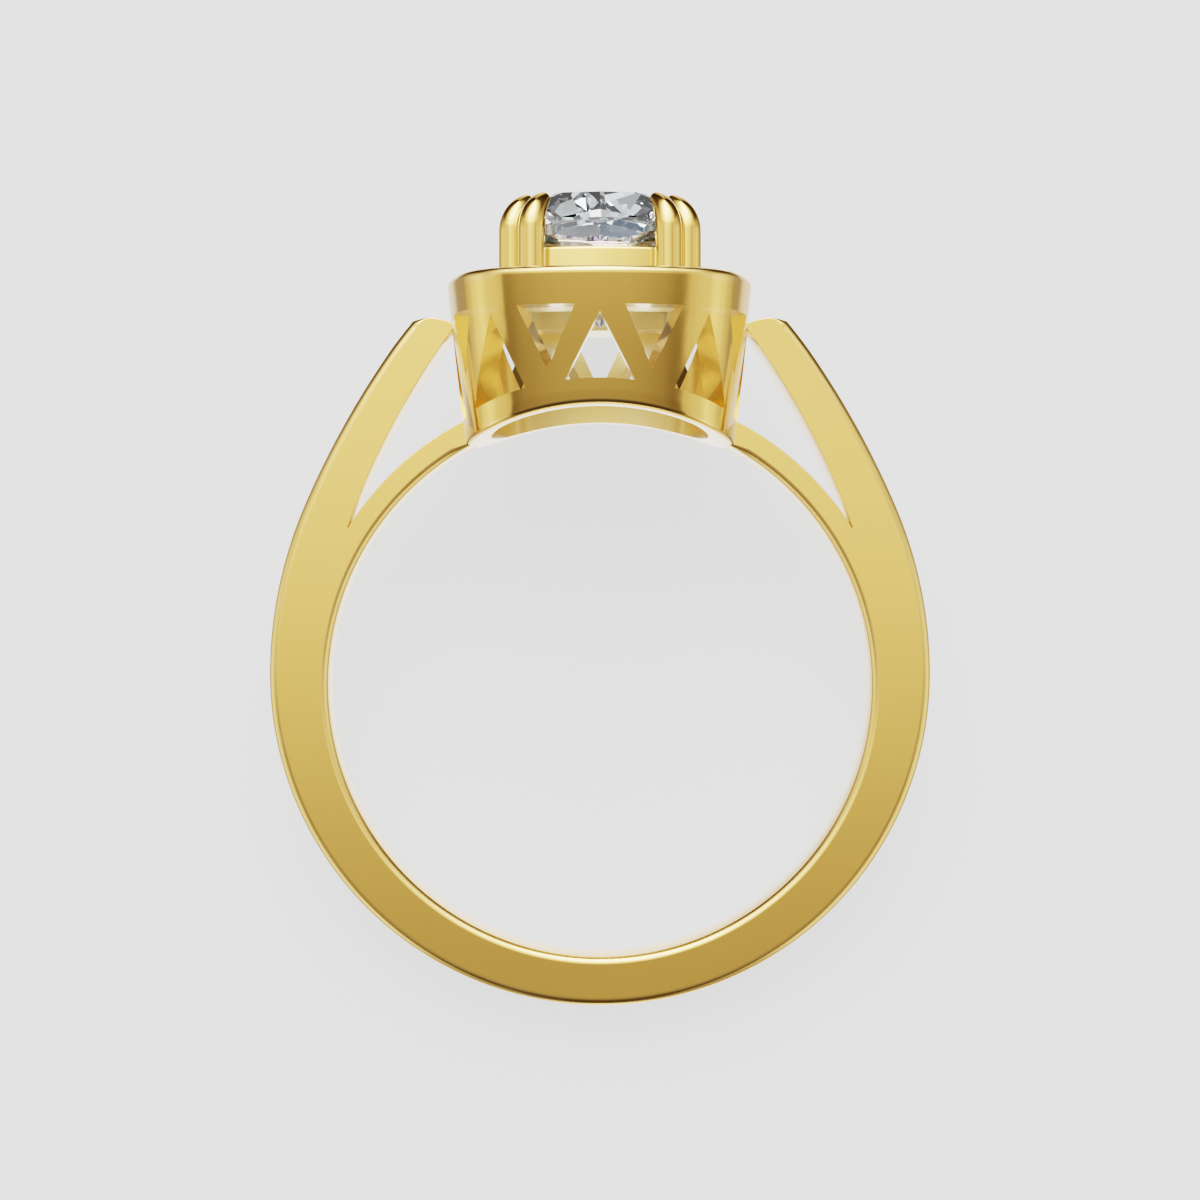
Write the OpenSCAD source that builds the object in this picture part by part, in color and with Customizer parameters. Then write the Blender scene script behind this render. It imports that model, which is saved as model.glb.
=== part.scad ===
// Halo ring in yellow gold, lying on its side as it rests by itself.
// It is drawn upright, with Z toward the stone, Y along the finger and the ring's centre at zero,
// and laid_down() then turns it onto the back edge of its band and of its gallery.

/* [Band] */
// Inside diameter of the finger hole
finger_d = 17; // [16.6:0.1:17.4]
// Width of the band along the finger
band_w = 1.8; // [1.6:0.1:2.2]
// Thickness of the band at the bottom
band_t = 1.53; // [1.4:0.01:1.7]
// Rounding of the band's edges
band_edge = 0.22; // [0.15:0.01:0.3]

/* [Shoulders] */
// Thickness of the thin rail under each slit
rail_t = 0.77; // [0.7:0.01:0.85]
// Radius of the slit's upper edge
slit_r = 24.57; // [24.4:0.01:24.7]
// Radius of the rounded end of each shoulder
shoulder_end_r = 1.7; // [1.6:0.05:1.8]

/* [Gallery] */
// Width across the halo's flats
halo_w = 9.62; // [9.5:0.02:9.8]
// Radius of the halo's bulged sides
halo_side_r = 8.2; // [7.8:0.1:9]
// Radius of the halo's corners
halo_corner_r = 2.3; // [2.1:0.1:2.5]
// Top of the halo deck above the finger hole
deck_top = 4.1; // [4:0.05:4.3]
// Thickness of the halo deck
deck_t = 1.15; // [1.1:0.05:1.3]
// Rounding of the deck's outer edge
rim_edge = 0.27; // [0.15:0.01:0.3]
// Diameter of the gallery at its foot
foot_d = 8.36; // [8.3:0.02:8.5]
// Thickness of the pierced wall
wall_t = 0.85; // [0.75:0.05:0.95]
// Windows round the gallery, point up and point down in turn
windows = 18; // [16:2:20]
// Width of a window that points up, at its sill
window_up_w = 2.04; // [1.8:0.02:2.1]
// Width of a window that points down, at its top
window_down_w = 1.78; // [1.6:0.02:1.9]

/* [Head] */
// Width of the centre stone across its flats
stone_w = 5.5; // [5.4:0.05:5.6]
// Depth of the centre stone
stone_depth = 4.06; // [3.95:0.01:4.1]
// Top of the centre stone above the deck
stone_top = 2.68; // [2.6:0.01:2.7]
// Top of the seat ring above the deck
seat_h = 0.87; // [0.8:0.01:0.95]
// Diameter of a claw's wire
claw_d = 0.83; // [0.75:0.01:0.9]
// Diameter of a claw's tip
claw_tip_d = 0.46; // [0.4:0.02:0.5]
// Distance of the claws from the stone's axis
claw_ring_r = 3.4; // [3.35:0.01:3.45]
// Angle between the two claws of a corner
claw_pair = 14.6; // [14.4:0.1:16]

/* [Halo stones] */
// Number of small stones in the deck
halo_stones = 20; // [16:4:20]
// Diameter of a small stone
small_d = 1.12; // [1:0.01:1.14]
// Distance of the stones' centres from the deck's outer edge
small_inset = 1.02; // [1:0.01:1.04]
// Gap between a stone and the metal round it
gap = 0.06; // [0.05:0.01:0.08]

/* [Hidden] */
$fn = 96;
GOLD = [0.85, 0.68, 0.3];
STONE = [0.86, 0.92, 0.96];

finger_r = finger_d / 2;
half_w = band_w / 2;
// Slack by which a cutter runs past what it cuts
over = 1;
// Step that keeps two cut faces out of one plane
step = 0.02;
// How far the claws and the seat ring run down into the deck
sunk = 0.3;

// Outer outline of the band, from the bottom up: turn where an arc ends, its radius, its steps
OUTLINE = [
    [8, finger_r + band_t, 2],
    [90, finger_r + band_t + 0.35, 18],
    [113, finger_r + band_t + 3.3, 6],
    [129, finger_r + band_t + 17.05, 5],
];
function outline_centre(i) =
    i == 0 ? [0, 0]
    : outline_centre(i - 1) + (OUTLINE[i - 1][1] - OUTLINE[i][1])
        * [sin(OUTLINE[i - 1][0]), -cos(OUTLINE[i - 1][0])];
// The outline's right half, drawn in by inset, as points from the bottom up
function outline_half(inset) = [
    for (i = [0:len(OUTLINE) - 1], j = [1:OUTLINE[i][2]])
        let (
            start = i == 0 ? 0 : OUTLINE[i - 1][0],
            turn = start + (OUTLINE[i][0] - start) * j / OUTLINE[i][2]
        )
        outline_centre(i) + (OUTLINE[i][1] - inset) * [sin(turn), -cos(turn)]
];
slit_centre = [-15.25, finger_r - 11.89];
// Middle of a shoulder's rounded end, and the block round it that is cut away: corner and size
shoulder_end = [5.35, finger_r + 1.25];
shoulder_cut = shoulder_end + [-1.85, 1.2];
shoulder_cut_size = [2.9, 2.5];
rail_r = finger_r + rail_t;

// Heights above the finger's axis
deck_z = finger_r + deck_top;
ceiling_z = deck_z - deck_t;
seat_z = deck_z + seat_h;
table_z = deck_z + stone_top;
// The gallery's foot is drawn down to here and then cut by the finger hole
foot_z = finger_r - 1.5;

// Widths of the deck's opening, of the seat ring and of the hole in it, and their corners
deck_hole_w = 5.32;
deck_hole_corner_r = 0.5;
seat_w = 5.26;
seat_corner_r = 1.2;
seat_hole_w = 4.3;
seat_hole_corner_r = 1;
seat_side_r = 12;
seat_hole_z = ceiling_z + 0.7;
// Tips of the windows that point up and of those that point down
peak_z = ceiling_z - 0.2;
point_z = ceiling_z - 1.92;
// Length of a window's cutter, and how far one that points up runs below its sill
window_reach = 2.4;
window_drop = 0.5;

// Points round every lofted outline
ROUND = 36;

// Distance from the axis to a cushion outline in direction a: half width h, bulged sides of
// radius side_r and corners of radius corner_r that run into them smoothly
function corner_centre(h, side_r, corner_r) =
    let (k = side_r - h) (sqrt(2 * pow(side_r - corner_r, 2) - k * k) - k) / 2;
function cushion(a, h, side_r, corner_r) =
    let (
        b = abs((a + 405) % 90 - 45),
        k = side_r - h,
        c = corner_centre(h, side_r, corner_r),
        blend = atan2(c, c + k),
        meet = atan2(side_r * sin(blend), side_r * cos(blend) - k),
        far = c * sqrt(2)
    )
    b < meet ? sqrt(pow(side_r, 2) - pow(k * sin(b), 2)) - k * cos(b)
    : far * cos(45 - b) + sqrt(pow(corner_r, 2) - pow(far * sin(45 - b), 2));

// Distance from the axis to the gallery's outside at height z: round at the foot, cushion at the deck
function gallery_r(a, z) =
    let (t = (z - foot_z) / (deck_z - foot_z))
    foot_d / 2 * (1 - t) + cushion(a, halo_w / 2, halo_side_r, halo_corner_r) * t;

function polar(r, a, z) = [r * cos(a), r * sin(a), z];
function gallery_ring(z, inset = 0) =
    [for (i = [0:ROUND - 1]) let (a = (i + 0.5) * 360 / ROUND) polar(gallery_r(a, z) - inset, a, z)];
function cushion_outline(w, side_r, corner_r) =
    [for (i = [0:ROUND - 1]) let (a = (i + 0.5) * 360 / ROUND)
        cushion(a, w / 2, side_r, corner_r) * [cos(a), sin(a)]];

// A closed skin over rings of equal length that run anticlockwise, lowest first
module loft(rings) {
    n = len(rings[0]);
    last = (len(rings) - 1) * n;
    polyhedron(
        points = [for (ring = rings) each ring],
        faces = concat(
            [[for (k = [0:n - 1]) k], [for (k = [0:n - 1]) last + n - 1 - k]],
            [for (j = [0:len(rings) - 2], k = [0:n - 1]) let (p = j * n + k, q = j * n + (k + 1) % n)
                each [[p, p + n, q + n], [p, q + n, q]]]));
}

// The same outline cut straight through from z0 to z1
module cushion_block(w, side_r, corner_r, z0, z1)
    translate([0, 0, z0]) linear_extrude(z1 - z0) polygon(cushion_outline(w, side_r, corner_r));

// The band's outline, solid across, with its edges rounded
module band_blank() {
    steps = 3;
    side = [for (i = [0:steps]) let (a = 90 * i / steps)
        [band_edge * (1 - sin(a)), half_w - band_edge * (1 - cos(a))]];
    levels = concat([for (i = [0:steps]) [side[i][0], -side[i][1]]], [for (i = [steps:-1:0]) side[i]]);
    rotate([90, 0, 0]) loft([for (level = levels) let (half = outline_half(level[0])) concat(
        [for (p = half) [p[0], p[1], level[1]]],
        [for (i = [len(half) - 1:-1:0]) [-half[i][0], half[i][1], level[1]]])]);
}

// A flat shape in the ring's plane, given the width w along the finger
module across(w) rotate([90, 0, 0]) linear_extrude(w, center = true) children();

// What rounds the rim of the finger hole at one side of the band
module hole_rim() {
    steps = 3;
    rotate([90, 0, 0]) rotate_extrude() polygon(concat(
        [for (i = [0:steps]) let (a = 90 * i / steps)
            [finger_r + band_edge * (1 - cos(a)), half_w - band_edge * (1 - sin(a))]],
        [[finger_r + band_edge, half_w + over], [finger_r - over, half_w + over],
            [finger_r - over, half_w - band_edge]]));
}

module finger_hole() rotate([90, 0, 0]) cylinder(h = halo_w + 2 * over, r = finger_r, center = true);

// The opening between the two shoulders and the rails, with a sharp lower end at each side
module slit_shape()
    difference() {
        intersection() {
            translate(slit_centre) circle(slit_r);
            mirror([1, 0]) translate(slit_centre) circle(slit_r);
            translate([-finger_r, 0]) square([finger_d, finger_r + deck_z]);
        }
        circle(rail_r);
    }

// What is cut away above the rounded end of a shoulder
module shoulder_cap_shape()
    difference() {
        translate(shoulder_cut) square(shoulder_cut_size);
        translate(shoulder_end) circle(shoulder_end_r);
    }

// The band, whose shoulders and rails end within the thickness of the gallery's wall
module band()
    difference() {
        band_blank();
        for (side = [0, 1]) mirror([0, side, 0]) hole_rim();
        across(band_w + over) slit_shape();
        for (side = [0, 1]) mirror([side, 0, 0]) across(band_w + over) shoulder_cap_shape();
        loft([gallery_ring(foot_z - over, wall_t / 2), gallery_ring(deck_z, wall_t / 2)]);
    }

// A window's cutter, point up or point down, from just inside the wall outward
module window(i) {
    turn = i * 360 / windows - 90;
    up = i % 2 == 0;
    sill_z = sqrt(pow(rail_r, 2) - pow(gallery_r(turn, rail_r) * cos(turn), 2));
    slope = up ? window_up_w / 2 / (peak_z - sill_z) : window_down_w / 2 / (ceiling_z - point_z);
    base_z = up ? sill_z - window_drop : ceiling_z - step;
    tip_z = up ? peak_z : point_z;
    half = slope * abs(tip_z - base_z);
    rotate([0, 0, turn]) translate([foot_d / 2 - wall_t - 2 * step, 0, 0]) rotate([90, 0, 90])
        linear_extrude(window_reach) polygon([[-half, base_z], [half, base_z], [0, tip_z]]);
}

// The windows' sills follow the outside of the rails
module window_cuts()
    difference() {
        for (i = [0:windows - 1]) window(i);
        rotate([90, 0, 0]) cylinder(h = halo_w + 2 * over, r = rail_r + step, center = true);
    }

module gallery() {
    rim_steps = 3;
    difference() {
        loft([
            gallery_ring(foot_z),
            for (i = [0:rim_steps]) let (b = 90 * i / rim_steps)
                gallery_ring(deck_z - rim_edge * (1 - sin(b)), rim_edge * (1 - cos(b))),
        ]);
        loft([gallery_ring(foot_z - over, wall_t), gallery_ring(ceiling_z, wall_t)]);
        window_cuts();
    }
}

module seat_ring() cushion_block(seat_w, seat_side_r, seat_corner_r, deck_z - sunk, seat_z);

// A claw's bend: its radius, its angle and the height where it starts
bend_r = 1.15;
bend = 58;
bend_z = seat_z + 0.48;

// A claw: round wire that stands up, bends in over the stone and narrows to a rounded tip
module claw() {
    bend_steps = 4;
    tip_rings = [0.35, 0.85];
    sides = 12;
    r0 = claw_d / 2;
    r1 = claw_tip_d / 2;
    function station(t) = let (b = bend * t) [
        claw_ring_r - bend_r * (1 - cos(b)),
        bend_z + bend_r * sin(b),
        b,
        r0 + (r1 - r0) * t * t,
    ];
    function tip(t) = let (s = station(1), b = 90 * t) [
        s[0] - r1 * sin(b) * sin(s[2]),
        s[1] + r1 * sin(b) * cos(s[2]),
        s[2],
        r1 * cos(b),
    ];
    stations = concat(
        [[claw_ring_r, deck_z - sunk, 0, r0]],
        [for (i = [0:bend_steps]) station(i / bend_steps)],
        [for (t = tip_rings) tip(t)]);
    loft([for (s = stations) [for (k = [0:sides - 1]) let (a = 360 * k / sides)
        [s[0] + s[3] * cos(a) * cos(s[2]), s[3] * sin(a), s[1] + s[3] * cos(a) * sin(s[2])]]]);
}

// The centre stone's outline at its girdle, and the girdle's height and thickness
stone_side_r = 7;
stone_corner_r = 1.6;
girdle_z = table_z - 0.96;
girdle_t = 0.12;
culet_z = table_z - stone_depth;
// Rings of corners below and above the girdle: height, share of the full width
BELLY = [culet_z + 1.62, 0.68];
CROWN = [girdle_z + 0.56, 0.82];
TABLE = [table_z, 0.6];
function stone_ring(z, share, n, turn, grow) =
    [for (i = [0:n - 1]) let (a = (i + turn) * 360 / n)
        polar(share * cushion(a, stone_w / 2, stone_side_r, stone_corner_r) + grow, a, z)];
function stone_points(grow) = concat(
    [[0, 0, culet_z - grow]],
    stone_ring(BELLY[0], BELLY[1], 8, 0.5, grow),
    stone_ring(girdle_z - girdle_t, 1, 16, 0, grow),
    stone_ring(girdle_z, 1, 16, 0, grow),
    stone_ring(CROWN[0], CROWN[1], 8, 0.5, grow),
    stone_ring(TABLE[0] + grow, TABLE[1], 8, 0, grow));
module cut_stone(points) hull() polyhedron(points, [[for (i = [0:len(points) - 1]) i]]);

// Where small stone i sits: a cushion path inside the deck's edge, walked in equal steps
path_w = halo_w - 2 * small_inset;
path_side_r = halo_side_r - small_inset;
path_corner_r = halo_corner_r - small_inset;
path_c = corner_centre(path_w / 2, path_side_r, path_corner_r);
path_turn = atan2(path_c, path_c + path_side_r - path_w / 2);
side_run = path_side_r * path_turn * PI / 180;
corner_run = path_corner_r * (90 - 2 * path_turn) * PI / 180;
function quarter_point(s) =
    s <= side_run ? let (a = s / path_side_r * 180 / PI)
        [path_w / 2 - path_side_r * (1 - cos(a)), path_side_r * sin(a)]
    : s <= side_run + corner_run ? let (a = path_turn + (s - side_run) / path_corner_r * 180 / PI)
        [path_c + path_corner_r * cos(a), path_c + path_corner_r * sin(a)]
    : let (p = quarter_point(2 * side_run + corner_run - s)) [p[1], p[0]];
function turned(p, quarters) = quarters == 0 ? p : turned([-p[1], p[0]], quarters - 1);
function small_place(i) =
    let (per = halo_stones / 4, s = (i % per) / per * (2 * side_run + corner_run))
    turned(quarter_point(s), floor(i / per));

// A small stone's crown, girdle and pavilion heights, and its table's share of the width
small_crown = 0.15 * small_d;
small_girdle = 0.03;
small_pavilion = 0.43 * small_d;
small_table = 0.57;
function small_points(grow) = let (r = small_d / 2 + grow, z = deck_z - small_crown) concat(
    [[0, 0, z - small_girdle - small_pavilion - grow]],
    [for (dz = [-small_girdle, 0], i = [0:7]) polar(r, 45 * i, z + dz)],
    [for (i = [0:7]) polar(small_table * r, 45 * i, deck_z + grow)]);

// The deck's groove, in which the small stones stand, and a cone-shaped seat for each
module halo_seats() {
    r = small_d / 2 + gap;
    groove_z = deck_z - small_crown - small_girdle;
    difference() {
        cushion_block(path_w + 2 * r, path_side_r + r, path_corner_r + r, groove_z, deck_z + gap);
        cushion_block(path_w - 2 * r, path_side_r - r, path_corner_r - r, groove_z - over, deck_z + over);
    }
    for (i = [0:halo_stones - 1])
        translate([small_place(i)[0], small_place(i)[1], groove_z - small_pavilion - gap])
            cylinder(h = small_pavilion + gap + step, r1 = step, r2 = r, $fn = 24);
}

module head_openings() {
    cushion_block(deck_hole_w, seat_side_r, deck_hole_corner_r, ceiling_z - over, seat_hole_z);
    cushion_block(seat_hole_w, seat_side_r, seat_hole_corner_r, ceiling_z, seat_z + over);
    cut_stone(stone_points(gap));
}

// Tilt at which the back edge of the band and the back of the gallery's foot both touch the floor
foot_back = gallery_r(90 - 180 / ROUND, finger_r) * cos(180 / ROUND);
band_low = finger_r + band_t - band_edge;
tilt = atan2(foot_back - half_w, finger_r + band_low);
lift = foot_back * cos(tilt) - finger_r * sin(tilt);
// Ends of the laid ring, from which it is centred on the origin
claw_end_z = bend_z + bend_r * sin(bend);
claw_end_y = (claw_ring_r - bend_r * (1 - cos(bend))) * cos(45 - claw_pair / 2);
head_reach = claw_end_z * cos(tilt) + claw_end_y * sin(tilt) + claw_tip_d / 2;
foot_reach = band_low * cos(tilt) + (half_w - band_edge) * sin(tilt) + band_edge;

module laid_down()
    translate([0, (foot_reach - head_reach) / 2, lift]) rotate([tilt - 90, 0, 0]) children();

module ring_mount() color(GOLD) laid_down()
    difference() {
        union() {
            band();
            gallery();
            seat_ring();
            for (corner = [45:90:315], side = [-1, 1]) rotate([0, 0, corner + side * claw_pair / 2]) claw();
        }
        finger_hole();
        head_openings();
        halo_seats();
    }

module centre_stone() color(STONE) laid_down() cut_stone(stone_points(0));

module halo_stone(i) color(STONE) laid_down()
    translate([small_place(i - 1)[0], small_place(i - 1)[1], 0]) cut_stone(small_points(0));

ring_mount();
centre_stone();
for (i = [1:halo_stones]) halo_stone(i);
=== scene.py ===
"""Halo ring in polished yellow gold, lying on its side on a pale floor.

Every piece is drawn upright, in millimetres: X to the right, Y along the finger away from the viewer,
Z towards the stone, with the ring's centre at zero. finished() then lays it on the floor, in metres.
"""

import functools
import math

import bmesh
import bpy
import numpy as np
from mathutils import Matrix, Vector


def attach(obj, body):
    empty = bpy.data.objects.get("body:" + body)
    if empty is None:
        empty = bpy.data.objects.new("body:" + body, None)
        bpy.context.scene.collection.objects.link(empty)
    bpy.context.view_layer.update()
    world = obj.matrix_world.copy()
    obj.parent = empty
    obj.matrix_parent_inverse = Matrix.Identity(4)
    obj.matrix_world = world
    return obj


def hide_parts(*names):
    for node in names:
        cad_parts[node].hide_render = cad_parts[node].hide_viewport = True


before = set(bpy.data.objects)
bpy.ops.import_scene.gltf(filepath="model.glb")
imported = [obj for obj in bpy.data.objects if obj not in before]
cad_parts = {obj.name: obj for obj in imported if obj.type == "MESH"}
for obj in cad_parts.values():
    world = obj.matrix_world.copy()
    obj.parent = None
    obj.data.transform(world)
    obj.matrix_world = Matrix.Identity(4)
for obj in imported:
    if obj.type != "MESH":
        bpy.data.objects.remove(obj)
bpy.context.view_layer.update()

# The band: the finger hole, half its width, its edges and the low rails that cross under the gallery
FINGER_R = 8.5
HALF_BAND = 0.9
OUTER_EDGE, FINGER_EDGE, CRISP_EDGE = 0.28, 0.22, 0.02
RAIL_R = FINGER_R + 0.77
# How far from the middle the rails and the finger hole's wall end, inside the gallery
RAIL_END, FINGER_END = 3.95, 3.9

# Its outer outline from the bottom up: the turn where each arc ends, and its radius
OUTLINE = [(8, 10.03), (90, 10.38), (113, 13.33), (129, 27.08)]
SLIT_CENTRE, SLIT_R = np.array([-15.25, -3.39]), 24.57
SHOULDER_END, SHOULDER_END_R = np.array([5.35, 9.75]), 1.7
# The lowest height of the shoulder's corner, and by how many degrees of the outline it is rounded
SHOULDER_LOW, SHOULDER_ROUND = 10.95, 1.15

# The gallery: cushions at its foot and its deck, its wall and its edges
FOOT_HALF, FOOT_SIDE_R, FOOT_CORNER_R, FOOT_Z = 4.18, 7.2, 2.14, 7.0
HALO_HALF, HALO_SIDE_R, HALO_CORNER_R = 4.81, 8.2, 2.3
DECK_Z, CEILING_Z = 12.6, 11.45
WALL_T = 0.85
RIM_EDGE, FOOT_EDGE = 0.22, 0.2

# Its windows: every second one points up
WINDOWS = 18
PEAK_Z, POINT_Z = 11.25, 9.53
SILL_W, TOP_W = 2.04, 1.78
WINDOW_TURNS = np.radians(np.arange(WINDOWS) * 360 / WINDOWS - 90)
UP = np.arange(WINDOWS) % 2 == 0
# The levels where its wall has rows, and the faces across a strut and across a filled window
LEVELS = [0, 0.5, 1, 1.5, 2, 2.2, 2.4, 2.6, 2.8, 3, 3.5, 4]
RIM_LEVELS = [4, 4.4, 4.8, 4.96, 5]
STRUT, FILL = 5, 10

# The seat ring, then the stone's seat and the deck's opening: half width, side and corner radius, height
SEAT_Z, SEAT_EDGE = 13.47, 0.1
SEAT_HALF, SEAT_SIDE_R, SEAT_CORNER_R = 2.63, 7.5, 1.1
STONE_SEAT = [(2.36, 9, 1.3, SEAT_Z), (2.15, 10, 1.0, 13.2), (2.15, 12, 1.0, 12.15)]
DECK_HOLE = [(2.66, 12, 0.5, 12.15), (2.66, 12, 0.5, CEILING_Z + 0.03), (2.69, 12, 0.53, CEILING_Z)]

# The centre stone, and the slopes of its facets in degrees from level
STONE_HALF, STONE_SIDE_R, STONE_CORNER_R = 2.75, 7.0, 1.6
TABLE_Z, CULET_Z, TABLE_SHARE = 15.28, 11.22, 0.66
GIRDLE_Z, GIRDLE_T = 14.3, 0.1
HALVES, MAINS, STARS = 47, 38, 25
BREAKS, LOW_BREAKS, LOW_BREAK_STEP = -78, -56, 0.32
PAVILION_MAINS = -41.5, -42.5

# The claws: wires with a bend and a narrower tip
CLAW_RING_R, CLAW_PAIR, CLAW_ROOT = 3.4, 14.6, 0.35
CLAW_R, CLAW_TIP_R, CLAW_SIDES = 0.415, 0.23, 28
CLAW_BEND_R, CLAW_BEND, CLAW_BEND_Z = 1.15, 58, SEAT_Z + 0.48

# The halo: its stones, their groove and path, and the beads that hold them
SMALL_STONES, SMALL_R, SMALL_INSET = 20, 0.56, 1.02
GROOVE_DEPTH, GROOVE_ROOM, GROOVE_EDGE = 0.7, 0.05, 0.04
PATH = np.array([HALO_HALF, HALO_SIDE_R, HALO_CORNER_R]) - SMALL_INSET
BEAD_R, BEAD_REACH, BEAD_SINK = 0.16, 0.43, 0.1

# The ring as it lies
MM = 0.001
TILT = math.radians(10.623)
LIFT, SHIFT = 2.693, -2.66465
HEADWARD = Vector((0, math.cos(TILT), math.sin(TILT)))
AWAY = Vector((0, math.sin(TILT), -math.cos(TILT)))
PLACE = Matrix.Scale(MM, 4) @ Matrix((
    (1, 0, 0, 0),
    (0, AWAY.y, HEADWARD.y, SHIFT),
    (0, AWAY.z, HEADWARD.z, LIFT),
    (0, 0, 0, 1)))

# A face of a rounded edge is smaller than this, and bends by more than this to two neighbours
ROUNDED_AREA, ROUNDED = 0.05, math.radians(4)
# A facet is below the girdle if it faces down by more than this, and small under this area
FACES_DOWN, SMALL_FACET = -0.15, 0.6


# Pieces and their meshes
def placed(name, mesh):
    """A new object of a mesh, in the scene."""
    piece = bpy.data.objects.new(name, mesh)
    bpy.context.scene.collection.objects.link(piece)
    return piece


def made_mesh(name, bm):
    mesh = bpy.data.meshes.new(name)
    bm.to_mesh(mesh)
    bm.free()
    return mesh


def mark_edges(bm):
    """Marks the points inside each rounded edge, where handling wears the polish first."""
    narrow = [face for face in bm.faces if face.calc_area() < ROUNDED_AREA]
    rounded = {face for face in narrow
               if sum(e.is_manifold and e.calc_face_angle_signed(0) > ROUNDED for e in face.edges) > 1}
    worn = bm.verts.layers.float.new("worn_edge")
    for v in bm.verts:
        v[worn] = float(all(face in rounded for face in v.link_faces))


def finished(name, mesh, sharp=35, weighted=True):
    """A closed piece from an upright mesh: laid down, facing outwards, smooth but for its edges."""
    bm = bmesh.new()
    bm.from_mesh(mesh)
    bmesh.ops.remove_doubles(bm, verts=bm.verts, dist=1e-4)
    bmesh.ops.dissolve_degenerate(bm, edges=bm.edges, dist=1e-5)
    bmesh.ops.recalc_face_normals(bm, faces=bm.faces)
    mark_edges(bm)
    bmesh.ops.transform(bm, matrix=PLACE, verts=bm.verts)
    open_edges = sum(1 for e in bm.edges if not e.is_manifold)
    if open_edges:
        print(name, "has open edges:", open_edges)
    bm.to_mesh(mesh)
    bm.free()
    mesh.shade_smooth()
    mesh.set_sharp_from_angle(angle=math.radians(sharp))
    piece = placed(name, mesh)
    if weighted:
        soft = piece.modifiers.new("even_shading", "WEIGHTED_NORMAL")
        soft.mode, soft.weight, soft.keep_sharp = "FACE_AREA", 80, True
        settle(piece)
    return piece


def settle(piece):
    """Turns what a piece's modifiers make into its own plain mesh."""
    graph = bpy.context.evaluated_depsgraph_get()
    made = bpy.data.meshes.new_from_object(
        piece.evaluated_get(graph), preserve_all_data_layers=True, depsgraph=graph)
    piece.modifiers.clear()
    old, piece.data = piece.data, made
    made.name = piece.name
    bpy.data.meshes.remove(old)


class Skin:
    """Grids of points, with faces between neighbouring rows and columns."""

    def __init__(self):
        self.points, self.faces, self.finishes = [], [], []

    def grid(self, rows, closed=False, finish=0):
        rows = np.asarray(rows, float)
        count, width = rows.shape[:2]
        start = len(self.points)
        self.points.extend(rows.reshape(-1, 3).tolist())
        for r in range(count - 1):
            for c in range(width if closed else width - 1):
                a, b = start + r * width + c, start + r * width + (c + 1) % width
                self.faces.append((a, b, b + width, a + width))
        self.finishes += [finish] * (len(self.faces) - len(self.finishes))

    def cap(self, ring):
        start = len(self.points)
        self.points.extend(np.asarray(ring, float).tolist())
        self.faces.append(tuple(range(start, start + len(ring))))
        self.finishes.append(0)

    def mesh(self, name):
        made = bpy.data.meshes.new(name)
        made.from_pydata(self.points, [], self.faces)
        made.polygons.foreach_set("material_index", self.finishes)
        return made


# Outlines
def cushion(turn, half, side_r, corner_r):
    """Distance from the axis to a cushion outline: bulged sides that run into round corners."""
    b = np.abs((np.asarray(turn, float) + 9 * math.pi / 4) % (math.pi / 2) - math.pi / 4)
    k = side_r - half
    c = (math.sqrt(2 * (side_r - corner_r) ** 2 - k * k) - k) / 2
    blend = math.atan2(c, c + k)
    meet = math.atan2(side_r * math.sin(blend), side_r * math.cos(blend) - k)
    far = c * math.sqrt(2)
    side = np.sqrt(side_r ** 2 - (k * np.sin(b)) ** 2) - k * np.cos(b)
    past = corner_r ** 2 - (far * np.sin(math.pi / 4 - b)) ** 2
    corner = far * np.cos(math.pi / 4 - b) + np.sqrt(np.maximum(past, 0))
    return np.where(b < meet, side, corner)


def gallery_radius(turn, z):
    """The gallery's outside: a small cushion at its foot that widens to the deck's."""
    t = (z - FOOT_Z) / (DECK_Z - FOOT_Z)
    foot = cushion(turn, FOOT_HALF, FOOT_SIDE_R, FOOT_CORNER_R)
    return foot * (1 - t) + cushion(turn, HALO_HALF, HALO_SIDE_R, HALO_CORNER_R) * t


def polar(radius, turn, z):
    turn, z = np.asarray(turn, float), np.asarray(z, float)
    return np.stack([radius * np.cos(turn), radius * np.sin(turn), z + 0 * turn], axis=-1)


def bend(corner, start, end, steps):
    """Points of a rounded corner between two points on its legs."""
    return [corner + (start - corner) * (1 - math.sin(t)) + (end - corner) * (1 - math.cos(t))
            for t in np.linspace(0, math.pi / 2, steps + 1)]


# The band, its shoulders and rails
def outline_centre(i):
    if i == 0:
        return np.zeros(2)
    turn = math.radians(OUTLINE[i - 1][0])
    step = OUTLINE[i - 1][1] - OUTLINE[i][1]
    return outline_centre(i - 1) + step * np.array([math.sin(turn), -math.cos(turn)])


def outline_point(turn):
    i = next(i for i, (end, _) in enumerate(OUTLINE) if turn <= end + 1e-9)
    t = math.radians(turn)
    return outline_centre(i) + OUTLINE[i][1] * np.array([math.sin(t), -math.cos(t)])


def arc(centre, radius, start, end, count):
    """Points on a circle, turned from straight down."""
    turns = np.radians(np.linspace(start, end, count))
    return [np.asarray(centre) + radius * np.array([math.sin(t), -math.cos(t)]) for t in turns]


def turn_of(point, centre):
    d = np.asarray(point) - np.asarray(centre)
    return math.degrees(math.atan2(d[0], -d[1]))


def turn_above(reach, radius):
    """Turn of the point above the middle where a circle round it is this far out to the side."""
    return 180 - math.degrees(math.asin(reach / radius))


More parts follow.
